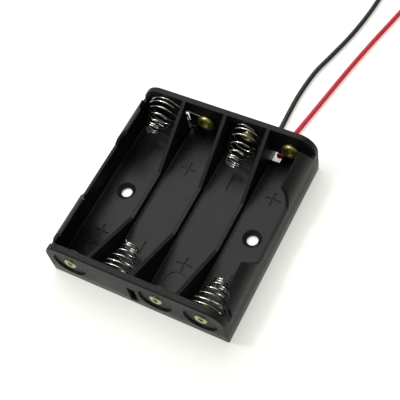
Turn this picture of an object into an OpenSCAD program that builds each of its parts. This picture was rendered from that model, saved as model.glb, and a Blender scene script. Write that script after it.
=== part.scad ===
// Cylindrical cell holder: an open tray for four AAA cells in series, with
// conical springs, brass eyelet contacts and two flying leads.
// X runs across the cells, Y along them and Z up. The origin is at the middle
// of the flat underside.

/* [Cells] */
// Diameter of a cell
cell_d = 10.5; // [9.5:0.1:12]
// Length of a cell, button included
cell_l = 44.5; // [40:0.5:50]
// Free width in a bay beside its cell
cell_play = 0.3; // [0.2:0.1:1]
// Length left in a bay for its pressed spring and its contact button
contact_room = 3.9; // [3:0.1:6]

/* [Tray] */
// Overall height of the end walls
tray_h = 12.3; // [11.8:0.1:14]
// Thickness of the floor
floor_t = 1.4; // [1.2:0.1:2]
// Thickness of a side wall and its lips
side_t = 0.8; // [0.7:0.1:1.6]
// Room that an outer bay has beside its side wall, over the other bays
side_room = 0.4; // [0:0.1:1]
// Thickness of an end wall
end_t = 1.7; // [1.5:0.1:2.5]
// Thickness of a divider between two bays
divider_t = 1; // [0.8:0.1:2]
// Radius of the rounded shoulders of the end walls and of the retaining lips
shoulder_r = 4.9; // [4.2:0.1:5.4]
// Radius of the softened outer edges of the end walls
edge_r = 0.5; // [0.2:0.1:0.7]
// Radius between the floor and the walls inside a bay
bay_fillet_r = 0.4; // [0.2:0.1:1.5]

/* [Side walls and dividers] */
// Height of the low stretches of the side walls
side_low_h = 7.9; // [6.5:0.1:9]
// Length of the low stretch between the lips, at its foot
window_l = 15.8; // [10:0.1:20]
// How far each sloping end of that stretch runs out by the top
window_flare = 3.6; // [1:0.1:5]
// How far a lip reaches in over its cell, from the outer face
lip_reach = 3; // [2:0.1:3.4]
// Width of the relief gap between a lip and the end wall, at its foot
relief_w = 1.7; // [1:0.1:2.5]
// How much wider that gap is at the top
relief_flare = 1.4; // [0:0.1:2]
// Height of the dividers at their low middle
divider_low_h = 3.1; // [2.2:0.1:6]
// Length of the low middle of a divider
divider_low_l = 14.2; // [8:0.1:24]

/* [Screw holes] */
// Bore of the two screw holes
screw_d = 2.9; // [2.4:0.1:3.6]
// Diameter of the countersink at the floor
screw_head_d = 5; // [4.4:0.1:6]
// Depth of the countersink
screw_head_depth = 0.7; // [0.5:0.05:1]

/* [Eyelets] */
// Outer diameter of an eyelet's shank
shank_d = 2.4; // [1.8:0.1:2.6]
// Bore through an eyelet
eyelet_bore_d = 1.3; // [0.8:0.1:1.4]
// Diameter of a contact button
button_d = 4.8; // [4:0.1:5.6]
// Radius of the roll that forms a contact button
button_roll_r = 0.8; // [0.6:0.05:1]
// Radius of the roll that clamps a wire
flange_roll_r = 0.45; // [0.4:0.05:0.6]
// Diameter of the round recess behind each eyelet
recess_d = 8.8; // [6:0.1:9.6]
// Depth of that recess
recess_depth = 0.5; // [0.4:0.05:0.9]

/* [Springs] */
// Wire of the springs
spring_wire_d = 0.45; // [0.4:0.05:0.6]
// Diameter of the widest turn, at the middle of its wire
spring_base_d = 9; // [8:0.1:9.6]
// Diameter of the narrowest turn, at the middle of its wire
spring_tip_d = 3.9; // [3:0.1:6]
// Length of a free spring
spring_l = 9.2; // [7:0.1:12]
// Open turns between the closed ends
spring_turns = 3; // [2:1:6]

/* [Links and leads] */
// Bare wire of the jumper and the leads
core_d = 0.5; // [0.4:0.05:0.6]
// Outer diameter of a lead
lead_d = 1.3; // [1:0.1:1.6]
// Height of the lead opening in the back wall
lead_slot_h = 3.1; // [2:0.1:4]
// Width of the lead opening
lead_slot_w = 2.6; // [1.8:0.1:3.5]
// How far the lead opening runs into the floor
lead_slot_l = 1.7; // [1:0.1:3]
// Width of a link slot through an end wall
link_slot_w = 2.2; // [1.2:0.1:2.4]
// Width of the jumper's groove in the underside
groove_w = 1.2; // [1:0.1:1.5]
// Depth of that groove
groove_depth = 0.75; // [0.6:0.05:0.8]
// Length of a stripped, tinned lead end
tip_l = 5; // [3:0.5:8]

/* [Hidden] */
cells = 4;
bay_w = cell_d + cell_play;
bay_l = cell_l + contact_room;
pitch = bay_w + divider_t;
tray_w = cells * bay_w + (cells - 1) * divider_t + 2 * (side_t + side_room);
tray_l = bay_l + 2 * end_t;
contact_z = floor_t + cell_d / 2;
shoulder_x = tray_w / 2 - shoulder_r;
shoulder_z = tray_h - shoulder_r;
over = 1;
gap = 0.03;

// Marks on the floor of a bay
mark_l = 3.9;
mark_w = 0.42;
mark_depth = 0.2;
mark_front_y = 12.8;
mark_back_y = 12;
pin_mark_depth = 0.12;
pin_mark_y = bay_l / 2 - 6.4;
// Bay and radius of each pin mark
pin_marks = [[1, 1.6], [3, 2.7]];

// Room that the lips leave round the base of a spring
spring_well_r = bay_w / 2 - 0.05;
spring_well_in = 2.4;

// Slots beside a divider where a link wire passes it
link_slot_shift = 0.53;
link_rise = 2.2;
link_notch_l = 1.1;
link_slot_room = 0.7;
link_slot_h = contact_z + 1.05;

// Eyelets, from the inner face of their wall
shank_r = shank_d / 2;
grip_t = end_t - recess_depth;
button_rise = 0.2;
one_wire = spring_wire_d + 2 * gap;
two_wires = one_wire + core_d + gap;

// Springs
wire_sides = 6;
turn_steps = 18;
wire_r = spring_wire_d / 2;
base_r = spring_base_d / 2;
tip_r = spring_tip_d / 2;
base_turns = 1.5;
tip_turns = 2;
base_pitch = 1.2;
tip_pitch = spring_wire_d + 0.15;
// Sideways and upward lean of each free spring at its tip, and its extra length
leans = [[-0.6, -0.15, -1], [-1.1, -1.3, 0.4], [-0.5, -0.5, 0], [0.4, -0.45, 0]];
eye_r = shank_r + wire_r + 2 * gap;

// Leads on the surface that the tray stands on
lead_z = lead_d / 2;
lead_sides = 8;
lead_smooth = 2;
coil_r = 5 * lead_d;
outer_r = coil_r + lead_z;
inner_r = coil_r - lead_z;
outer_turn = 325;
inner_turn = 300;

// Moves a route's set points to where a lead is fixed to the tray
function from_eyelet(i, points) = [
    for (p = points) [bay_x(i) + p.x, tray_l / 2 + p.y, p.z]
];

// Route of the red lead, from its eyelet to its coil
red_route = concat(
    from_eyelet(cells, [
        [-1.95, -2.5, contact_z - 2.35], [-2.5, -2.5, contact_z - 3.25],
        [-3.4, -2.1, 2.3], [-3.8, -1.2, 1.5], [-4.05, 0.1, 1.05], [-4, 2.1, 0.8]
    ]),
    from_eyelet(cells, [
        [-3.5, 4.6, lead_z], [-2.7, 8.1, lead_z], [-0.8, 18.1, lead_z], [0.9, 27.1, lead_z],
        [2.3, 34.1, lead_z], [4.3, 43.1, lead_z], [6.5, 52.1, lead_z], [8.3, 60.1, lead_z],
        [9, 67.1, lead_z]
    ])
);
// Route of the black lead, from its eyelet to its coil
black_route = concat(
    from_eyelet(3, [
        [2, 0.2, contact_z - 1.65], [2.45, 0.65, contact_z - 2.75],
        [3.2, 1.2, 2.6], [3.9, 2.3, 1.4], [4.4, 4.3, 0.8]
    ]),
    from_eyelet(3, [
        [4.6, 7.1, lead_z], [4.5, 13.1, lead_z], [4.6, 19.1, lead_z], [5.5, 27.1, lead_z],
        [7.4, 34.1, lead_z], [9.5, 42.1, lead_z], [11.1, 51.1, lead_z], [11.9, 60.1, lead_z],
        [11.9, 69.1, lead_z]
    ])
);
red_end = red_route[len(red_route) - 1];
black_end = black_route[len(black_route) - 1];
red_coil = [red_end.x + outer_r, red_end.y];
black_coil = [black_end.x - outer_r, black_end.y];

$fn = 48;

// Middle of bay i, counted from 1 at the left
function bay_x(i) = (i - (cells + 1) / 2) * pitch;

function unit(v) = v / norm(v);

// Direction of a path at point i
function heading(path, i) =
    unit(path[min(i + 1, len(path) - 1)] - path[max(i - 1, 0)]);

// Side vectors carried along a path without twist
function sides_of(path, i = 0, made = []) =
    i == len(path) ? made :
    let (
        t = heading(path, i),
        start = abs(t.z) < 0.8 ? [0, 0, 1] : [1, 0, 0],
        last = i == 0 ? start : made[i - 1]
    )
    sides_of(path, i + 1, concat(made, [unit(last - (last * t) * t)]));

// One smooth stretch between b and c of a curve through a, b, c and d
function curve_at(a, b, c, d, t) =
    b + 0.5 * t * (c - a + t * (2 * a - 5 * b + 4 * c - d + t * (3 * (b - c) + d - a)));

// A smooth path through hand-set points, with steps points in each stretch
function smooth(points, steps) = [
    for (i = [0:len(points) - 2], k = [0:steps - 1])
        curve_at(points[max(i - 1, 0)], points[i], points[i + 1],
            points[min(i + 2, len(points) - 1)], k / steps),
    points[len(points) - 1]
];

// A turn about Z from angle a1 to a2, while radius and height change evenly
function winding(a1, a2, r1, r2, z1, z2, centre = [0, 0]) =
    let (n = max(2, round(abs(a2 - a1) / 360 * turn_steps)))
    [for (k = [0:n]) let (f = k / n, a = a1 + f * (a2 - a1), r = r1 + f * (r2 - r1))
        [centre.x + r * cos(a), centre.y + r * sin(a), z1 + f * (z2 - z1)]];

// Leaves out the first point of a path that carries on from another
function onward(path) = [for (i = [1:len(path) - 1]) path[i]];

// A round wire or lead along a path, closed at both ends
module wire(path, d, sides) {
    side = sides_of(path);
    n = len(path);
    rings = [for (i = [0:n - 1], k = [0:sides - 1])
        let (t = heading(path, i), a = 360 * k / sides)
        path[i] + d / 2 * (cos(a) * side[i] + sin(a) * cross(t, side[i]))];
    skin = [for (i = [0:n - 2], k = [0:sides - 1])
        let (a = i * sides + k, b = i * sides + (k + 1) % sides)
        [a, a + sides, b + sides, b]];
    first = [for (k = [0:sides - 1]) k];
    last = [for (k = [sides - 1:-1:0]) (n - 1) * sides + k];
    polyhedron(points = rings, faces = concat([first, last], skin));
}

// Sets a piece on the inner face of the back wall in bay i, its Z into the bay
module at_back(i) {
    translate([bay_x(i), bay_l / 2, contact_z]) rotate([90, 0, 0]) children();
}

// Sets a piece on the inner face of the front wall in bay i, its Z into the bay
module at_front(i) {
    translate([bay_x(i), -bay_l / 2, contact_z]) rotate([-90, 0, 0]) children();
}

// Extrudes a section of X and Z along Y
module along_y(l) {
    rotate([90, 0, 0]) linear_extrude(l, center = true) children();
}

// Extrudes a profile of Y and Z along X, centred on x
module along_x(x, l) {
    translate([x, 0, 0]) rotate([90, 0, 90]) linear_extrude(l, center = true) children();
}

// Outline of the end walls, drawn in by inset and open above by rise
module end_outline(inset, foot) {
    translate([-tray_w / 2 + inset, foot])
        square([tray_w - 2 * inset, shoulder_z - foot]);
    translate([-shoulder_x, foot])
        square([2 * shoulder_x, tray_h - inset - foot]);
    for (s = [-1, 1])
        translate([s * shoulder_x, shoulder_z]) circle(r = shoulder_r - inset);
}

// Section of bay i, with filleted lower corners
module bay_section(i) {
    x1 = bay_x(i) - bay_w / 2 - (i == 1 ? side_room : 0);
    x2 = bay_x(i) + bay_w / 2 + (i == cells ? side_room : 0);
    translate([x1, floor_t + bay_fillet_r]) square([x2 - x1, tray_h]);
    translate([x1 + bay_fillet_r, floor_t]) square([x2 - x1 - 2 * bay_fillet_r, tray_h]);
    for (x = [x1 + bay_fillet_r, x2 - bay_fillet_r])
        translate([x, floor_t + bay_fillet_r]) circle(r = bay_fillet_r);
}

// Middle of the floor of bay i
function floor_x(i) = bay_x(i) + (i == 1 ? -side_room / 2 : i == cells ? side_room / 2 : 0);

// The four bays, kept inside the curve of the lips
module bays() {
    intersection() {
        along_y(bay_l) {
            end_outline(side_t, 0);
            translate([-tray_w / 2 + lip_reach, 0])
                square([tray_w - 2 * lip_reach, tray_h + over]);
        }
        for (i = [1:cells]) along_y(bay_l) bay_section(i);
    }
}

// Cuts that leave a side wall low between and beside its lips
module side_cuts(s) {
    top = tray_h + over;
    run = top - side_low_h;
    flare = window_flare * run / (tray_h - side_low_h);
    lean = relief_flare * run / (tray_h - side_low_h);
    along_x(s * (tray_w / 2 - lip_reach / 2), lip_reach + 2 * over) {
        polygon([
            [-window_l / 2, side_low_h], [window_l / 2, side_low_h],
            [window_l / 2 + flare, top], [-window_l / 2 - flare, top]
        ]);
        for (e = [-1, 1])
            polygon([
                [e * bay_l / 2, side_low_h],
                [e * bay_l / 2, top],
                [e * (bay_l / 2 - relief_w - lean), top],
                [e * (bay_l / 2 - relief_w), side_low_h]
            ]);
    }
}

// Takes the dividers down from full height at the ends to the low middle
module divider_cut() {
    along_x(0, 2 * (pitch + divider_t))
        polygon([
            [-bay_l / 2, tray_h], [-divider_low_l / 2, divider_low_h],
            [divider_low_l / 2, divider_low_h], [bay_l / 2, tray_h],
            [bay_l / 2, tray_h + over], [-bay_l / 2, tray_h + over]
        ]);
}

// Corner that is left outside a rounded edge whose middle is at the origin
module edge_corner() {
    difference() {
        square(edge_r + over);
        circle(r = edge_r);
    }
}

// Rounds the outer edge of the back wall, over its shoulders and down its sides
module edge_rounding() {
    y = tray_l / 2 - edge_r;
    translate([0, y, tray_h - edge_r]) rotate([0, 0, 180]) rotate([0, 90, 0])
        mirror([1, 0, 0]) mirror([0, 1, 0])
            linear_extrude(2 * shoulder_x, center = true) edge_corner();
    for (s = [0, 1]) mirror([s, 0, 0]) {
        translate([shoulder_x, y, shoulder_z]) rotate([90, 0, 0]) mirror([0, 0, 1])
            rotate_extrude(angle = 90) translate([shoulder_r - edge_r, 0]) edge_corner();
        translate([tray_w / 2 - edge_r, y, -over])
            linear_extrude(shoulder_z + over) edge_corner();
    }
}

// Slot in an end wall beside divider k, from the floor up, with a notch through
// the divider's foot to height h. side is 1 at the back and -1 at the front.
module link_slot(k, side, h) {
    x = bay_x(k) + pitch / 2;
    wall_y = side > 0 ? bay_l / 2 - gap : -bay_l / 2 - end_t - over;
    notch_y = side > 0 ? bay_l / 2 - link_notch_l : -bay_l / 2;
    notch_z = floor_t + bay_fillet_r;
    translate([x - link_slot_shift - link_slot_w / 2, wall_y, floor_t])
        cube([link_slot_w, end_t + over + gap, link_slot_h - floor_t]);
    translate([x - divider_t / 2 - gap, notch_y, notch_z])
        cube([divider_t + 2 * gap, link_notch_l, h - notch_z]);
}

// Hole and outer recess for an eyelet, in the frame of its contact
module eyelet_seat() {
    translate([0, 0, -end_t - over]) cylinder(d = shank_d + 2 * gap, h = end_t + 2 * over);
    translate([0, 0, -end_t - over]) cylinder(d = recess_d, h = recess_depth + over);
}

module plus_mark() {
    for (a = [0, 90]) rotate(a) translate([-mark_l / 2, -mark_w / 2, 0])
        cube([mark_l, mark_w, mark_depth + over]);
}

module minus_mark() {
    translate([-mark_w / 2, -mark_l / 2, 0]) cube([mark_w, mark_l, mark_depth + over]);
}

// Polarity marks and round pin marks sunk in the floors
module floor_marks() {
    for (i = [1:cells]) {
        translate([floor_x(i), -mark_front_y, floor_t - mark_depth])
            if (i % 2 == 1) plus_mark(); else minus_mark();
        translate([floor_x(i), mark_back_y, floor_t - mark_depth])
            if (i % 2 == 1) minus_mark(); else plus_mark();
    }
    for (m = pin_marks)
        translate([bay_x(m[0]), -pin_mark_y, floor_t - pin_mark_depth])
            cylinder(r = m[1], h = pin_mark_depth + over);
}

// A countersunk screw hole
module screw_hole() {
    translate([0, 0, -over]) cylinder(d = screw_d, h = floor_t + 2 * over);
    translate([0, 0, floor_t - screw_head_depth])
        cylinder(d1 = screw_d, d2 = screw_head_d, h = screw_head_depth);
    translate([0, 0, floor_t - gap]) cylinder(d = screw_head_d, h = over);
}

// Well that cuts a lip back round the base of a spring in an outer bay
module spring_well(i, side) {
    intersection() {
        translate([bay_x(i), side * (bay_l / 2 - spring_well_in), shoulder_z])
            cylinder(r = spring_well_r, h = tray_h);
        translate([-tray_w / 2, -bay_l / 2, 0]) cube([tray_w, bay_l, 2 * tray_h]);
    }
}

// Groove under the floor for the jumper, with a way up into the outer bays
module jumper_groove() {
    y = -bay_l / 2;
    x1 = bay_x(1) + eye_r - groove_w / 2;
    x2 = bay_x(cells) - eye_r + groove_w / 2;
    translate([x1, y, -over]) cube([x2 - x1, groove_w, groove_depth + over]);
    for (x = [x1, x2 - groove_w])
        translate([x, y, -over]) cube([groove_w, groove_w, floor_t + 2 * over]);
}

module tray() {
    color("#2b2d2c") difference() {
        along_y(tray_l) end_outline(0, 0);
        bays();
        for (s = [-1, 1]) side_cuts(s);
        divider_cut();
        edge_rounding();
        mirror([0, 1, 0]) edge_rounding();
        spring_well(1, 1);
        spring_well(cells, -1);
        link_slot(1, 1, contact_z + link_rise + link_slot_room);
        link_slot(2, -1, contact_z + link_slot_room);
        for (i = [2:cells]) at_back(i) eyelet_seat();
        for (i = [1, 3, 4]) at_front(i) eyelet_seat();
        // Way out for the red lead, in the corner of the last bay
        translate([bay_x(cells) - bay_w / 2, bay_l / 2 - lead_slot_l, -over])
            cube([lead_slot_w, lead_slot_l + gap, floor_t + 2 * over]);
        translate([bay_x(cells) - bay_w / 2, bay_l / 2, -over])
            cube([lead_slot_w, end_t + over, lead_slot_h + over]);
        jumper_groove();
        for (i = [1, cells]) translate([floor_x(i), 0, 0]) screw_hole();
        floor_marks();
    }
}

// The cone of spring i, from its closed base to its closed tip. The base turn
// begins at angle a0 and height z0. up is 1 at the back and -1 at the front.
function cone_path(i, a0, z0, up) =
    let (
        l = spring_l + leans[i - 1][2],
        z1 = z0 + base_turns * base_pitch,
        z2 = l - wire_r - tip_turns * tip_pitch,
        a1 = a0 + 360 * base_turns,
        a2 = a1 + 360 * spring_turns,
        path = concat(
            winding(a0, a1, base_r, base_r, z0, z1),
            onward(winding(a1, a2, base_r, tip_r, z1, z2)),
            onward(winding(a2, a2 + 360 * tip_turns, tip_r, tip_r, z2, l - wire_r))
        )
    )
    [for (p = path) let (f = pow((p.z - z0) / l, 2))
        [p.x + leans[i - 1][0] * f, p.y + up * leans[i - 1][1] * f, p.z]];

function backwards(path) = [for (i = [len(path) - 1:-1:0]) path[i]];

// A spring in bay i whose wire runs on past the divider and round the next
// bay's eyelet
module spring_with_link(i, up) {
    z = wire_r + gap;
    leave = 62;
    way = [
        [base_r * cos(leave), base_r * sin(leave), z],
        [base_r * cos(leave) + 1.3, base_r * sin(leave) - 0.85, z],
        [pitch / 2 - 0.9, link_rise + 0.25, z + 0.1],
        [pitch / 2 + 0.6, link_rise, z + 0.1],
        [pitch - 2.9, 1.65, z],
        [pitch - eye_r * cos(62), eye_r * sin(62), z]
    ];
    hook = [
        [pitch - eye_r * cos(62), -eye_r * sin(62), z],
        [pitch - 2.5, -2, z],
        [pitch - 3.9, -3.7, z + 0.1],
        [pitch - 4.6, -3.5, z + 0.35],
        [pitch - 4.85, -1, z + 0.7],
        [pitch - 5.1, 1.9, z + 0.85]
    ];
    path = concat(
        backwards(cone_path(i, leave, z, up)),
        onward(smooth(way, 3)),
        onward(winding(118, -118, eye_r, eye_r, z, z, [pitch, 0])),
        onward(smooth(hook, 3))
    );
    wire(path, spring_wire_d, wire_sides);
}

// A spring in bay i whose wire begins in an eye round its own eyelet. Its cone
// begins just before the jumper wire, passes below it once and then clears it.
module spring_with_eye(i, up) {
    z = wire_r + gap;
    a0 = acos(-(shank_r + core_d / 2 + 2 * gap) / base_r) - 4;
    path = concat(
        winding(a0 - 410, a0 - 160, eye_r, eye_r, z, z),
        onward(winding(a0 - 160, a0, eye_r, base_r, z, z)),
        onward(cone_path(i, a0, z, up))
    );
    wire(path, spring_wire_d, wire_sides);
}

module spring_link_1() { color("#d9dad6") at_back(1) spring_with_link(1, 1); }
module spring_link_2() { color("#d9dad6") at_front(2) spring_with_link(2, -1); }
module spring_3() { color("#d9dad6") at_back(3) spring_with_eye(3, 1); }
module spring_4() { color("#d9dad6") at_front(4) spring_with_eye(4, -1); }

// A hollow eyelet. The inner roll stands on what it clamps inside, and the
// outer one on what it clamps in the recess.
module eyelet(head_d, roll_r, rise, inside, outside) {
    bore_r = eyelet_bore_d / 2;
    top = inside + rise + roll_r;
    foot = -grip_t - outside;
    color("#b5a642") rotate_extrude() {
        translate([bore_r, foot - flange_roll_r / 2])
            square([shank_r - bore_r, inside - foot + flange_roll_r / 2 + rise]);
        intersection() {
            translate([head_d / 2 - roll_r, inside + rise]) circle(r = roll_r);
            translate([bore_r, inside]) square([head_d, top - inside]);
        }
        translate([shank_r - gap, inside])
            square([head_d / 2 - shank_r + gap, rise]);
        intersection() {
            translate([shank_r, foot]) circle(r = flange_roll_r);
            translate([bore_r, foot - flange_roll_r]) square([head_d, flange_roll_r]);
        }
    }
}

module contact_eyelet(inside) { eyelet(button_d, button_roll_r, button_rise, inside, 0); }
module clamp_eyelet(inside, outside) {
    eyelet(2 * (shank_r + spring_wire_d + flange_roll_r / 2), flange_roll_r, 0.1, inside, outside);
}

module eyelet_front_1() { at_front(1) contact_eyelet(one_wire); }
module eyelet_front_3() { at_front(3) contact_eyelet(one_wire); }
module eyelet_front_4() { at_front(4) clamp_eyelet(two_wires, 0); }
module eyelet_back_2() { at_back(2) contact_eyelet(one_wire); }
module eyelet_back_3() { at_back(3) clamp_eyelet(one_wire, core_d + 2 * gap); }
module eyelet_back_4() { at_back(4) contact_eyelet(one_wire); }

// Joins the front contacts of the outer bays through the groove underneath
module jumper_wire() {
    r = shank_r + core_d / 2 + 2 * gap;
    y1 = -bay_l / 2 + core_d / 2 + gap;
    y2 = -bay_l / 2 + one_wire + core_d / 2;
    ym = -bay_l / 2 + groove_w / 2;
    z = core_d / 2 + 0.15;
    x1 = bay_x(1) + r;
    x2 = bay_x(cells) - r;
    eye_1 = [for (p = winding(-90, 180, r, r, 0, 0)) [bay_x(1) - p.x, y1, contact_z + p.y]];
    eye_2 = [for (p = winding(180, -90, r, r, 0, 0)) [bay_x(cells) + p.x, y2, contact_z + p.y]];
    way = [
        [x1, y1, contact_z], [x1, y1, contact_z - 2.5], [x1, y1 + 0.05, floor_t + 0.4],
        [x1 + 0.15, y1 + 0.1, z + 0.35], [x1 + 0.7, ym, z],
        [0, ym, z],
        [x2 - 0.7, ym, z], [x2 - 0.15, ym, z + 0.35],
        [x2, y2, floor_t + 0.6], [x2, y2, contact_z - 2.5], [x2, y2, contact_z]
    ];
    color("#c9c9c4")
        wire(concat(eye_1, onward(smooth(way, 3)), onward(eye_2)), core_d, wire_sides);
}

// Stripped end of the red lead, hooked round its eyelet inside the bay
module red_core_end() {
    r = shank_r + core_d / 2 + 2 * gap;
    w = core_d / 2 + gap;
    way = [
        [red_route[0].x - bay_x(cells), red_route[0].z - contact_z, bay_l / 2 - red_route[0].y],
        [-1.6, -2.3, 0.34],
        [r * cos(-110), r * sin(-110), w]
    ];
    path = concat(smooth(way, 3), onward(winding(-110, 130, r, r, w, w)));
    color("#c98f5a") at_back(cells) wire(path, core_d, wire_sides);
}

// Stripped end of the black lead, hooked round its eyelet in the outer recess
module black_core_end() {
    r = shank_r + core_d / 2 + 2 * gap;
    w = -grip_t - core_d / 2 - gap;
    way = [
        [black_route[0].x - bay_x(3), black_route[0].z - contact_z, bay_l / 2 - black_route[0].y],
        [1.5, -1.6, w - 0.15],
        [r * cos(-75), r * sin(-75), w]
    ];
    path = concat(smooth(way, 3), onward(winding(-75, -330, r, r, w, w)));
    color("#c98f5a") at_back(3) wire(path, core_d, wire_sides);
}

module red_lead() { color("#c8202c") wire(smooth(red_route, lead_smooth), lead_d, lead_sides); }
module black_lead() { color("#22262a") wire(smooth(black_route, lead_smooth), lead_d, lead_sides); }

// One flat turn of a lead, reaching half way to the turn beside it
module turn_section(r, side) {
    translate([r, 0]) circle(r = lead_z);
    translate([side > 0 ? r : r - lead_z, -lead_z]) square([lead_z, lead_d]);
}

// The put-away rest of a lead: two turns lying side by side, wound from the
// point where the lead comes in, with its end left open for the lead and the tip
module lead_coil(centre, side) {
    translate([centre.x, centre.y, lead_z]) mirror([side > 0 ? 0 : 1, 0, 0]) {
        rotate_extrude(angle = outer_turn) turn_section(outer_r, -1);
        rotate_extrude(angle = inner_turn) turn_section(inner_r, 1);
    }
}

module red_lead_coil() { color("#c8202c") lead_coil(red_coil, -1); }
module black_lead_coil() { color("#22262a") lead_coil(black_coil, 1); }

// A tinned tip that carries on from the end of a coil's inner turn
module tinned_tip(centre, side) {
    a = tip_l / inner_r * 180 / PI;
    color("#c4c6c6")
        translate([centre.x, centre.y, lead_z]) mirror([side > 0 ? 0 : 1, 0, 0])
            rotate([0, 0, inner_turn]) rotate_extrude(angle = a)
                translate([inner_r, 0]) circle(d = core_d, $fn = 24);
}

module red_tinned_tip() { tinned_tip(red_coil, -1); }
module black_tinned_tip() { tinned_tip(black_coil, 1); }

tray();
spring_link_1();
spring_link_2();
spring_3();
spring_4();
eyelet_front_1();
eyelet_front_3();
eyelet_front_4();
eyelet_back_2();
eyelet_back_3();
eyelet_back_4();
jumper_wire();
red_core_end();
black_core_end();
red_lead();
black_lead();
red_lead_coil();
black_lead_coil();
red_tinned_tip();
black_tinned_tip();
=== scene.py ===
"""Looks for the cell holder: camera, leads, springs, contacts, materials and light."""
import math

import bmesh
import bpy
from mathutils import Matrix, Vector


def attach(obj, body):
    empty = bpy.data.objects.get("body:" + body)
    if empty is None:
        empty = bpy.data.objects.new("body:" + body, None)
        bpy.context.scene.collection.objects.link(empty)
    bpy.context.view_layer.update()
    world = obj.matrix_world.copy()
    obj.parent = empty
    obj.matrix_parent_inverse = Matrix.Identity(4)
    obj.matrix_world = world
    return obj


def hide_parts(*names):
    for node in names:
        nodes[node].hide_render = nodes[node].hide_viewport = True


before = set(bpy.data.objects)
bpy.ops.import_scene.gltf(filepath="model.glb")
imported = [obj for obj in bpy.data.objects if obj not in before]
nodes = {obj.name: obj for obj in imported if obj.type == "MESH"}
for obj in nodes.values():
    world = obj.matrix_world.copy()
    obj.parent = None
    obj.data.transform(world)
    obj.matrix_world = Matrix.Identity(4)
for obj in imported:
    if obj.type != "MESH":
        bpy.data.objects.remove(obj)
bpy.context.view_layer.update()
MM = 0.001

# ---------------------------------------------------------------- camera

EYE = Vector((75.6, -84.2, 187.6)) * MM
AIM = Vector((2.48, 3.12, 5.0)) * MM
ROLL = math.radians(-14.87)
SENSOR_MM = 36
LENS_MM = 78.67
NEAREST_M = 0.01
FARTHEST_M = 10


def make_camera():
    forward = (AIM - EYE).normalized()
    level = forward.cross(Vector((0, 0, 1))).normalized()
    raised = level.cross(forward)
    right = math.cos(ROLL) * level + math.sin(ROLL) * raised
    up = -math.sin(ROLL) * level + math.cos(ROLL) * raised
    turn = Matrix((right, up, -forward)).transposed().to_4x4()
    data = bpy.data.cameras.new("camera")
    data.sensor_width = SENSOR_MM
    data.lens = LENS_MM
    data.clip_start = NEAREST_M
    data.clip_end = FARTHEST_M
    camera = bpy.data.objects.new("camera", data)
    camera.matrix_world = Matrix.Translation(EYE) @ turn
    bpy.context.scene.collection.objects.link(camera)
    bpy.context.scene.camera = camera


make_camera()

# ---------------------------------------------------------------- sizes, in millimetres

CELLS = 4
BAY_L = 48.4
PITCH = 11.8
CONTACT_Z = 6.65
TRAY_L = 51.8
SHANK_R = 1.2
WIRE_D = 0.45
CORE_D = 0.5
LEAD_D = 1.3
GAP = 0.03
STEPS_PER_TURN = 48


def bay_x(i):
    """The middle of bay i across the tray. The bays are counted from 1."""
    return (i - (CELLS + 1) / 2) * PITCH


# ---------------------------------------------------------------- helpers


def curve_at(a, b, c, d, t):
    """A point on the smooth curve from b to c, where a and d are the points before and after."""
    return b + 0.5 * t * (c - a + t * (2 * a - 5 * b + 4 * c - d + t * (3 * (b - c) + d - a)))


def smooth(points, steps):
    pts = [Vector(p) for p in points]
    out = []
    for i in range(len(pts) - 1):
        a, b = pts[max(i - 1, 0)], pts[i]
        c, d = pts[i + 1], pts[min(i + 2, len(pts) - 1)]
        out += [curve_at(a, b, c, d, k / steps) for k in range(steps)]
    return out + [pts[-1]]


def winding(a1, a2, r1, r2, z1, z2, centre=(0, 0)):
    """Turns from angle a1 to a2, in degrees, while the radius and the height change evenly."""
    n = max(2, round(abs(a2 - a1) / 360 * STEPS_PER_TURN))
    out = []
    for k in range(n + 1):
        f = k / n
        a = math.radians(a1 + f * (a2 - a1))
        r = r1 + f * (r2 - r1)
        x = centre[0] + r * math.cos(a)
        y = centre[1] + r * math.sin(a)
        out.append(Vector((x, y, z1 + f * (z2 - z1))))
    return out


def at_back(i, p):
    """Places a point of a contact on the back wall of bay i. Its z runs into the bay."""
    return Vector((bay_x(i) + p.x, BAY_L / 2 - p.z, CONTACT_Z + p.y))


def at_front(i, p):
    """The same on the front wall, turned half round about x."""
    return Vector((bay_x(i) + p.x, -BAY_L / 2 + p.z, CONTACT_Z - p.y))


def new_object(name, data):
    obj = bpy.data.objects.new(name, data)
    bpy.context.scene.collection.objects.link(obj)
    return obj


def shade_smooth(mesh):
    for p in mesh.polygons:
        p.use_smooth = True


def frames_along(path_mm):
    """For each point of a path: the point, its direction, two directions across it, the run so far."""
    path = [Vector(p) for p in path_mm]
    last = len(path) - 1
    out = []
    side = None
    run = 0.0
    for i, p in enumerate(path):
        ahead = (path[min(i + 1, last)] - path[max(i - 1, 0)]).normalized()
        if side is None:
            side = Vector((0, 0, 1)) if abs(ahead.z) < 0.8 else Vector((1, 0, 0))
        side = (side - side.dot(ahead) * ahead).normalized()
        if i:
            run += (p - path[i - 1]).length
        out.append((p, ahead, side, ahead.cross(side), run))
    return out


# Angles, in radians, at which the rings of a rounded wire end lie
CAP_ANGLES = (0.35, 0.75, 1.2)


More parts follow.
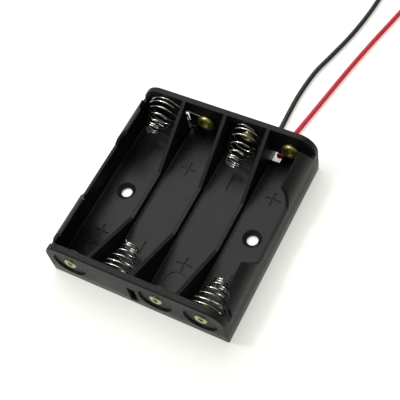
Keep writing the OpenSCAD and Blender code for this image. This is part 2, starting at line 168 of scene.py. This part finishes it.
def tube_mesh(name, path_mm, radius_mm, sides=16, round_ends=True):
    """A round wire along a path. Its UVs run along the wire in u and round it in v."""
    frames = frames_along(path_mm)
    last = len(frames) - 1
    bm = bmesh.new()
    uv = bm.loops.layers.uv.new("along")
    rings = []
    runs = []
    for i, (p, ahead, side, other, run) in enumerate(frames):
        # Each step is a shift along the wire and a share of its radius
        steps = [(0.0, 1.0)]
        if round_ends and i == 0:
            steps = [(radius_mm - radius_mm * math.sin(a), math.cos(a)) for a in reversed(CAP_ANGLES)]
        if round_ends and i == last:
            steps = [(radius_mm * (math.sin(a) - 1), math.cos(a)) for a in CAP_ANGLES]
        for shift, share in steps:
            centre = p + ahead * shift
            ring = []
            for k in range(sides):
                a = 2 * math.pi * k / sides
                across = math.cos(a) * side + math.sin(a) * other
                ring.append(bm.verts.new((centre + radius_mm * share * across) * MM))
            rings.append(ring)
            runs.append(run + shift)
    for j in range(len(rings) - 1):
        for k in range(sides):
            m = (k + 1) % sides
            face = bm.faces.new((rings[j][k], rings[j + 1][k], rings[j + 1][m], rings[j][m]))
            corners = ((runs[j], k), (runs[j + 1], k), (runs[j + 1], k + 1), (runs[j], k + 1))
            for loop, (u, v) in zip(face.loops, corners):
                loop[uv].uv = (u, v / sides)
    bm.faces.new(rings[0])
    bm.faces.new(rings[-1][::-1])
    bmesh.ops.recalc_face_normals(bm, faces=bm.faces)
    mesh = bpy.data.meshes.new(name)
    bm.to_mesh(mesh)
    bm.free()
    shade_smooth(mesh)
    return mesh


# ---------------------------------------------------------------- leads


def from_eyelet(i, points):
    """Points with x from eyelet i's axis, y from the back wall's outside and z from the underside."""
    return [(bay_x(i) + x, TRAY_L / 2 + y, z) for x, y, z in points]


LEAD_Z = LEAD_D / 2
RED_ROUTE = from_eyelet(4, [
    (-1.95, -2.5, CONTACT_Z - 2.35), (-2.5, -2.5, CONTACT_Z - 3.25), (-3.4, -2.1, 2.3),
    (-3.8, -1.2, 1.5), (-4.05, 0.1, 1.05), (-4, 2.1, 0.8), (-3.5, 4.6, LEAD_Z),
    (-2.7, 8.1, LEAD_Z), (-0.8, 18.1, LEAD_Z), (0.9, 27.1, LEAD_Z), (2.3, 34.1, LEAD_Z),
    (4.3, 43.1, LEAD_Z), (6.5, 52.1, LEAD_Z), (8.3, 60.1, LEAD_Z), (9, 67.1, LEAD_Z),
])
BLACK_ROUTE = from_eyelet(3, [
    (2, 0.2, CONTACT_Z - 1.65), (2.45, 0.65, CONTACT_Z - 2.75), (3.2, 1.2, 2.6),
    (3.9, 2.3, 1.4), (4.4, 4.3, 0.8), (4.6, 7.1, LEAD_Z), (4.5, 13.1, LEAD_Z),
    (4.6, 19.1, LEAD_Z), (5.5, 27.1, LEAD_Z), (7.4, 34.1, LEAD_Z), (9.5, 42.1, LEAD_Z),
    (11.1, 51.1, LEAD_Z), (11.9, 60.1, LEAD_Z), (11.9, 69.1, LEAD_Z),
])

# The coil's two turns lie side by side. Angles are in degrees, from where the lead comes in
OUTER_R = 5.5 * LEAD_D
INNER_R = 4.5 * LEAD_D
COIL_STEP = 5
COIL_END = 660
DRAW_IN_FROM = 150
DRAW_IN_OVER = 210


def coil_centre(end, side):
    return Vector((end[0] - side * OUTER_R, end[1], LEAD_Z))


def coil_turns(end, side):
    """Nearly two flat turns from the point where the lead comes in, drawing in to the inner turn.
    side is 1 where they wind to the left and -1 to the right."""
    centre = coil_centre(end, side)
    out = []
    for a in range(COIL_STEP, COIL_END + COIL_STEP, COIL_STEP):
        f = min(max((a - DRAW_IN_FROM) / DRAW_IN_OVER, 0), 1)
        r = OUTER_R + (INNER_R - OUTER_R) * (f * f * (3 - 2 * f))
        c = math.radians(a)
        out.append(centre + Vector((side * r * math.cos(c), r * math.sin(c), 0)))
    return out


def make_lead(name, route, side):
    path = smooth(route, 6) + coil_turns(route[-1], side)
    obj = new_object(name, tube_mesh(name, path, LEAD_D / 2, sides=20, round_ends=False))
    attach(obj, "root")
    return obj, path


red_lead, red_path = make_lead("lead_red", RED_ROUTE, -1)
black_lead, black_path = make_lead("lead_black", BLACK_ROUTE, 1)
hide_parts("red_lead", "red_lead_coil")
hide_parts("black_lead", "black_lead_coil")


TIE_ANGLE = 95
TIE_WIRE_R = 0.13
TIE_ROOM = 0.14
TIE_PRESS = 0.02
TIE_SQUARENESS = 0.6
TIE_STEPS = 48


def rounded_square(value):
    """Pushes a sine or cosine outwards, so that the loop it draws has fuller corners."""
    return math.copysign(abs(value) ** TIE_SQUARENESS, value)


def tie(name, end, side):
    """A thin twist tie round both turns of a coil, on its far side from the tray."""
    a = math.radians(TIE_ANGLE)
    along = Vector((side * math.cos(a), math.sin(a), 0))
    # The line between the two turns is five lead widths from the centre
    middle = coil_centre(end, side) + along * 5 * LEAD_D
    width = LEAD_D + TIE_ROOM
    height = LEAD_D / 2 - TIE_PRESS
    lowest = -LEAD_D / 2 + TIE_ROOM
    path = []
    for k in range(TIE_STEPS + 1):
        b = 2 * math.pi * k / TIE_STEPS
        x = width * rounded_square(math.cos(b))
        z = height * rounded_square(math.sin(b))
        path.append(middle + along * x + Vector((0, 0, max(z, lowest))))
    obj = new_object(name, tube_mesh(name, path, TIE_WIRE_R, sides=10))
    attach(obj, "root")
    return obj


red_tie = tie("tie_red", RED_ROUTE[-1], -1)
black_tie = tie("tie_black", BLACK_ROUTE[-1], 1)


STRANDS = 6
TWISTS_PER_MM = 0.3
STRAND_PACKING = 0.97


def stranded(name, path, radius_mm):
    """A twisted conductor: strands laid round a straight one, along a path."""
    strand_r = radius_mm / 3
    bm = bmesh.new()
    for s in range(STRANDS + 1):
        out = 0 if s == STRANDS else 2 * strand_r * STRAND_PACKING
        line = []
        for p, _, side, other, run in frames_along(path):
            w = 2 * math.pi * (s / STRANDS + run * TWISTS_PER_MM)
            line.append(p + out * (math.cos(w) * side + math.sin(w) * other))
        strand = tube_mesh(name + "_strand", line, strand_r, sides=8)
        bm.from_mesh(strand)
        bpy.data.meshes.remove(strand)
    mesh = bpy.data.meshes.new(name)
    bm.to_mesh(mesh)
    bm.free()
    shade_smooth(mesh)
    return new_object(name, mesh)


# The bare tip starts just inside the sheath and follows the inner turn
TIP_FROM = 657
TIP_SWEEP = 46
TIP_STEPS = 25


def make_tip(name, end, side):
    centre = coil_centre(end, side)
    path = []
    for k in range(TIP_STEPS + 1):
        c = math.radians(TIP_FROM + TIP_SWEEP * k / TIP_STEPS)
        path.append(centre + Vector((side * INNER_R * math.cos(c), INNER_R * math.sin(c), 0)))
    obj = stranded(name, path, CORE_D / 2)
    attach(obj, "root")
    return obj


red_tip = make_tip("tip_red", RED_ROUTE[-1], -1)
black_tip = make_tip("tip_black", BLACK_ROUTE[-1], 1)
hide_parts("red_tinned_tip")
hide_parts("black_tinned_tip")

# ---------------------------------------------------------------- springs

EYE_R = SHANK_R + WIRE_D / 2 + 2 * GAP
BASE_R = 4.5
TIP_R = 1.95
SPRING_L = 9.2
BASE_TURNS = 1.5
OPEN_TURNS = 3
TIP_TURNS = 2
BASE_PITCH = 1.2
TIP_PITCH = WIRE_D + 0.15
LINK_RISE = 2.2
LINK_ANGLE = 62
# Degrees before the cone's start at which the eye begins, and at which it opens out to the cone
EYE_FROM = 410
EYE_TO = 160
# Nominal lean of each free spring, sideways and upward, and its extra length.
# The bend that cone_path gives reaches about nine tenths of the lean at the tip
LEANS = {1: (-0.6, -0.15, -1), 2: (-1.1, -1.3, 0.4), 3: (-0.5, -0.5, 0), 4: (0.4, -0.45, 0)}


def cone_path(i, a0, z0, up):
    """The cone of spring i: turns at full width, open turns that narrow, and close turns at the tip.
    up is 1 where the contact's y points up and -1 where it points down."""
    lean_x, lean_z, extra = LEANS[i]
    top = SPRING_L + extra
    z1 = z0 + BASE_TURNS * BASE_PITCH
    z2 = top - WIRE_D / 2 - TIP_TURNS * TIP_PITCH
    a1 = a0 + 360 * BASE_TURNS
    a2 = a1 + 360 * OPEN_TURNS
    out = winding(a0, a1, BASE_R, BASE_R, z0, z1)
    out += winding(a1, a2, BASE_R, TIP_R, z1, z2)[1:]
    out += winding(a2, a2 + 360 * TIP_TURNS, TIP_R, TIP_R, z2, top - WIRE_D / 2)[1:]
    for p in out:
        f = ((p.z - z0) / top) ** 2
        p.x += lean_x * f
        p.y += up * lean_z * f
    return out


def spring_with_link(i, up):
    """A cone whose wire runs on through the divider and round the next bay's eyelet, to a bent end."""
    z = WIRE_D / 2 + GAP
    angle = math.radians(LINK_ANGLE)
    base_x, base_y = BASE_R * math.cos(angle), BASE_R * math.sin(angle)
    eye_x, eye_y = EYE_R * math.cos(angle), EYE_R * math.sin(angle)
    way = [
        (base_x, base_y, z), (base_x + 1.3, base_y - 0.85, z),
        (PITCH / 2 - 0.9, LINK_RISE + 0.25, z + 0.1), (PITCH / 2 + 0.6, LINK_RISE, z + 0.1),
        (PITCH - 2.9, 1.65, z), (PITCH - eye_x, eye_y, z),
    ]
    hook = [
        (PITCH - eye_x, -eye_y, z), (PITCH - 2.5, -2, z), (PITCH - 3.9, -3.7, z + 0.1),
        (PITCH - 4.6, -3.5, z + 0.35), (PITCH - 4.85, -1, z + 0.7), (PITCH - 5.1, 1.9, z + 0.85),
    ]
    half = 180 - LINK_ANGLE
    return (
        cone_path(i, LINK_ANGLE, z, up)[::-1]
        + smooth(way, 8)[1:]
        + winding(half, -half, EYE_R, EYE_R, z, z, (PITCH, 0))[1:]
        + smooth(hook, 8)[1:]
    )


def spring_with_eye(i, up):
    """A cone whose wire closes in an eye round its own eyelet."""
    z = WIRE_D / 2 + GAP
    a0 = math.degrees(math.acos(-(SHANK_R + CORE_D / 2 + 2 * GAP) / BASE_R)) - 4
    return (
        winding(a0 - EYE_FROM, a0 - EYE_TO, EYE_R, EYE_R, z, z)
        + winding(a0 - EYE_TO, a0, EYE_R, BASE_R, z, z)[1:]
        + cone_path(i, a0, z, up)[1:]
    )


def make_spring(name, node, place, bay, path):
    obj = new_object(name, tube_mesh(name, [place(bay, p) for p in path], WIRE_D / 2, sides=14))
    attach(obj, "root")
    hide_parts(node)
    return obj


springs = [
    make_spring("spring_wire_1", "spring_link_1", at_back, 1, spring_with_link(1, 1)),
    make_spring("spring_wire_2", "spring_link_2", at_front, 2, spring_with_link(2, -1)),
    make_spring("spring_wire_3", "spring_3", at_back, 3, spring_with_eye(3, 1)),
    make_spring("spring_wire_4", "spring_4", at_front, 4, spring_with_eye(4, -1)),
]

# ---------------------------------------------------------------- materials


class Nodes:
    """Short names for building a material's node tree."""

    def __init__(self, name):
        self.mat = bpy.data.materials.new(name)
        self.mat.use_nodes = True
        self.tree = self.mat.node_tree
        self.tree.nodes.clear()
        self.out = self.tree.nodes.new("ShaderNodeOutputMaterial")
        self.bsdf = self.tree.nodes.new("ShaderNodeBsdfPrincipled")
        self.plug(self.bsdf.outputs["BSDF"], self.out.inputs["Surface"])
        self.coord = self.tree.nodes.new("ShaderNodeTexCoord")

    def plug(self, value, socket):
        """Links an output to the socket, or sets the socket to a plain value."""
        if hasattr(value, "is_output"):
            self.tree.links.new(value, socket)
        else:
            socket.default_value = value

    def set(self, node, **values):
        for key, value in values.items():
            self.plug(value, node.inputs[key.replace("_", " ")])

    def add(self, kind, **values):
        node = self.tree.nodes.new(kind)
        self.set(node, **values)
        return node

    def scaled(self, source, scale):
        return self.add("ShaderNodeMapping", Scale=scale, Vector=source).outputs["Vector"]

    def noise(self, vector, scale, detail, rough):
        n = self.add("ShaderNodeTexNoise", Scale=scale, Detail=detail, Roughness=rough, Vector=vector)
        return n.outputs["Fac"]

    def ramp(self, source, stops):
        n = self.add("ShaderNodeValToRGB", Fac=source)
        ramp = n.color_ramp
        while len(ramp.elements) < len(stops):
            ramp.elements.new(0.5)
        for element, (position, value) in zip(ramp.elements, stops):
            element.position = position
            element.color = (*value, 1)
        return n.outputs["Color"]

    def map(self, source, a, b, lo, hi):
        """Maps the source's range from lo to hi onto the range from a to b."""
        n = self.add("ShaderNodeMapRange", Value=source, From_Min=lo, From_Max=hi, To_Min=a, To_Max=b)
        return n.outputs["Result"]

    def math(self, op, a, b):
        n = self.tree.nodes.new("ShaderNodeMath")
        n.operation = op
        self.plug(a, n.inputs[0])
        self.plug(b, n.inputs[1])
        return n.outputs[0]

    def mix(self, fac, a, b):
        """Mixes two colours. A mix node's colour sockets come after those for numbers and vectors."""
        n = self.tree.nodes.new("ShaderNodeMix")
        n.data_type = "RGBA"
        self.plug(fac, n.inputs[0])
        self.plug(a, n.inputs[6])
        self.plug(b, n.inputs[7])
        return n.outputs[2]

    def bump(self, height, strength, distance, **more):
        n = self.add("ShaderNodeBump", Strength=strength, Distance=distance, Height=height, **more)
        return n.outputs["Normal"]


# Heights between which the tray's plastic gets rougher, from its floors up its walls
ROUGHER_FROM_M = 0.0016
ROUGHER_TO_M = 0.0034
# Distance from the tray's middle past which an eyelet shows its rolled end, outside the wall, where the
# brass gets a painted highlight
PAINTED_HIGHLIGHT_FROM_M = 0.0247


def give(obj, mat):
    obj.data.materials.clear()
    obj.data.materials.append(mat)


def plastic():
    m = Nodes("moulded_plastic")
    p = m.coord.outputs["Object"]
    broad = m.noise(p, 90, 4, 0.55)
    grain = m.noise(p, 5200, 2, 0.6)
    pores = m.noise(p, 1700, 3, 0.6)
    flow = m.noise(m.scaled(p, (1.0, 0.12, 1.0)), 700, 3, 0.55)
    shade = m.ramp(broad, [(0.3, (0.0105, 0.0117, 0.0112)), (0.7, (0.0145, 0.016, 0.0152))])
    dust = m.ramp(m.noise(p, 3100, 1, 0.4), [(0.735, (0, 0, 0)), (0.78, (1, 1, 1))])
    m.set(m.bsdf, Base_Color=m.mix(m.math("MULTIPLY", dust, 0.16), shade, (0.16, 0.165, 0.16, 1)))
    rough = m.math("ADD", m.map(broad, 0.25, 0.37, 0.3, 0.7), m.map(pores, -0.06, 0.08, 0.3, 0.7))
    # The walls are rougher than the floors
    height = m.add("ShaderNodeSeparateXYZ", Vector=p).outputs["Z"]
    m.set(m.bsdf, Roughness=m.math("ADD", rough, m.map(height, 0, 0.2, ROUGHER_FROM_M, ROUGHER_TO_M)))
    # Shades the edges as if they were slightly rounded
    edge = m.add("ShaderNodeBevel", Radius=0.00024)
    edge.samples = 6
    grained = m.bump(grain, 0.5, 0.000024, Normal=edge.outputs["Normal"])
    m.set(m.bsdf, Normal=m.bump(flow, 0.25, 0.00006, Normal=grained))
    m.bsdf.inputs["Specular IOR Level"].default_value = 0.26
    return m.mat


def spring_steel():
    m = Nodes("plated_spring_wire")
    p = m.coord.outputs["Object"]
    uv = m.coord.outputs["UV"]
    drawn = m.noise(m.scaled(uv, (0.5, 26, 1)), 3, 3, 0.6)
    spots = m.noise(p, 1300, 3, 0.6)
    shade = m.ramp(spots, [(0.35, (0.62, 0.62, 0.6)), (0.62, (0.9, 0.9, 0.88))])
    m.set(m.bsdf, Base_Color=shade)
    m.bsdf.inputs["Metallic"].default_value = 1
    m.set(m.bsdf, Roughness=m.map(drawn, 0.08, 0.17, 0.3, 0.7))
    m.set(m.bsdf, Normal=m.bump(drawn, 0.12, 0.00002))
    return m.mat


def brass():
    m = Nodes("rolled_brass")
    p = m.coord.outputs["Object"]
    tarnish = m.noise(p, 620, 4, 0.6)
    fine = m.noise(p, 4200, 2, 0.6)
    stops = [(0.3, (0.5, 0.45, 0.13)), (0.55, (0.74, 0.68, 0.24)), (0.75, (0.84, 0.78, 0.36))]
    shade = m.ramp(tarnish, stops)
    # Painted highlight: the rolled ends outside the walls are given a paler brass than the heads inside,
    # standing in for their whiter highlights
    across = m.add("ShaderNodeSeparateXYZ", Vector=p).outputs["Y"]
    outside = m.math("GREATER_THAN", m.math("ABSOLUTE", across, 0), PAINTED_HIGHLIGHT_FROM_M)
    m.set(m.bsdf, Base_Color=m.mix(outside, shade, (0.5, 0.51, 0.28, 1)))
    m.bsdf.inputs["Metallic"].default_value = 1
    m.set(m.bsdf, Roughness=m.map(tarnish, 0.5, 0.36, 0.3, 0.7))
    m.set(m.bsdf, Normal=m.bump(fine, 0.3, 0.00002))
    return m.mat


def tinned():
    m = Nodes("tinned_conductor")
    p = m.coord.outputs["Object"]
    tone = m.noise(p, 900, 3, 0.6)
    fine = m.noise(p, 5200, 2, 0.6)
    m.set(m.bsdf, Base_Color=m.ramp(tone, [(0.3, (0.48, 0.46, 0.42)), (0.7, (0.72, 0.71, 0.69))]))
    m.bsdf.inputs["Metallic"].default_value = 1
    m.set(m.bsdf, Roughness=m.map(tone, 0.38, 0.22, 0.3, 0.7))
    m.set(m.bsdf, Normal=m.bump(fine, 0.2, 0.00002))
    return m.mat


def sheath(name, dark, light, rough):
    m = Nodes(name)
    p = m.coord.outputs["Object"]
    tone = m.noise(p, 160, 3, 0.5)
    fine = m.noise(p, 2600, 3, 0.6)
    m.set(m.bsdf, Base_Color=m.ramp(tone, [(0.3, dark), (0.7, light)]))
    m.set(m.bsdf, Roughness=m.map(fine, rough - 0.06, rough + 0.08, 0.3, 0.7))
    m.set(m.bsdf, Normal=m.bump(fine, 0.2, 0.00003))
    return m.mat


tray_mat = plastic()
spring_mat = spring_steel()
brass_mat = brass()
tinned_mat = tinned()
red_mat = sheath("red_sheath", (0.7, 0.018, 0.045), (0.8, 0.035, 0.07), 0.38)
black_mat = sheath("black_sheath", (0.012, 0.014, 0.018), (0.022, 0.025, 0.03), 0.42)

DRESSED_NODES = (
    (tray_mat, ["tray"]),
    (brass_mat, [name for name in nodes if name.startswith("eyelet")]),
    (spring_mat, ["spring_link_1", "spring_link_2", "spring_3", "spring_4"]),
    (tinned_mat, ["jumper_wire", "red_core_end", "black_core_end", "red_tinned_tip", "black_tinned_tip"]),
    (red_mat, ["red_lead", "red_lead_coil"]),
    (black_mat, ["black_lead", "black_lead_coil"]),
)
for mat, names in DRESSED_NODES:
    for name in names:
        give(nodes[name], mat)

DRESSED_PIECES = (
    (spring_mat, springs),
    (red_mat, [red_lead]),
    (black_mat, [black_lead, red_tie, black_tie]),
    (tinned_mat, [red_tip, black_tip]),
)
for mat, pieces in DRESSED_PIECES:
    for piece in pieces:
        give(piece, mat)

# ---------------------------------------------------------------- floor and light


TABLE_HALF_M = 1.2
# The table lies just below the tray's underside, so that the two faces don't lie in each other
TABLE_DROP_M = 0.00002


def table_top():
    bm = bmesh.new()
    bmesh.ops.create_grid(bm, x_segments=1, y_segments=1, size=TABLE_HALF_M)
    mesh = bpy.data.meshes.new("table_top")
    bm.to_mesh(mesh)
    bm.free()
    mesh.transform(Matrix.Translation((0, 0, -TABLE_DROP_M)))
    obj = new_object("table_top", mesh)
    m = Nodes("table_paper")
    tone = m.noise(m.coord.outputs["Object"], 60, 3, 0.5)
    m.set(m.bsdf, Base_Color=m.ramp(tone, [(0.3, (0.88, 0.88, 0.88)), (0.7, (0.9, 0.9, 0.9))]))
    m.set(m.bsdf, Roughness=0.8, Emission_Color=(1, 0.995, 0.93, 1), Emission_Strength=0.48)
    give(obj, m.mat)


table_top()


def area_light(name, place, aim, size, power, colour):
    data = bpy.data.lights.new(name, "AREA")
    data.shape = "RECTANGLE"
    data.size = size
    data.size_y = size
    data.energy = power
    data.color = colour
    obj = new_object(name, data)
    towards = (Vector(aim) - Vector(place)).normalized()
    obj.location = place
    obj.rotation_euler = towards.to_track_quat("-Z", "Y").to_euler()


# The broad panel lights the whole tray, and the small lamp gives the springs their glints
area_light("panel", (-0.24, 0.3, 0.62), (-0.02, 0.03, 0), 0.75, 3.3, (1.0, 1.0, 0.985))
area_light("spark", (-0.34, -0.1, 0.6), (0, 0, 0), 0.1, 1.0, (1.0, 0.99, 0.97))

world = bpy.data.worlds.new("world")
bpy.context.scene.world = world
world.use_nodes = True
background = world.node_tree.nodes["Background"]
background.inputs["Color"].default_value = (0.96, 1.0, 0.88, 1)
background.inputs["Strength"].default_value = 0.17

bpy.context.scene.view_settings.view_transform = "Standard"
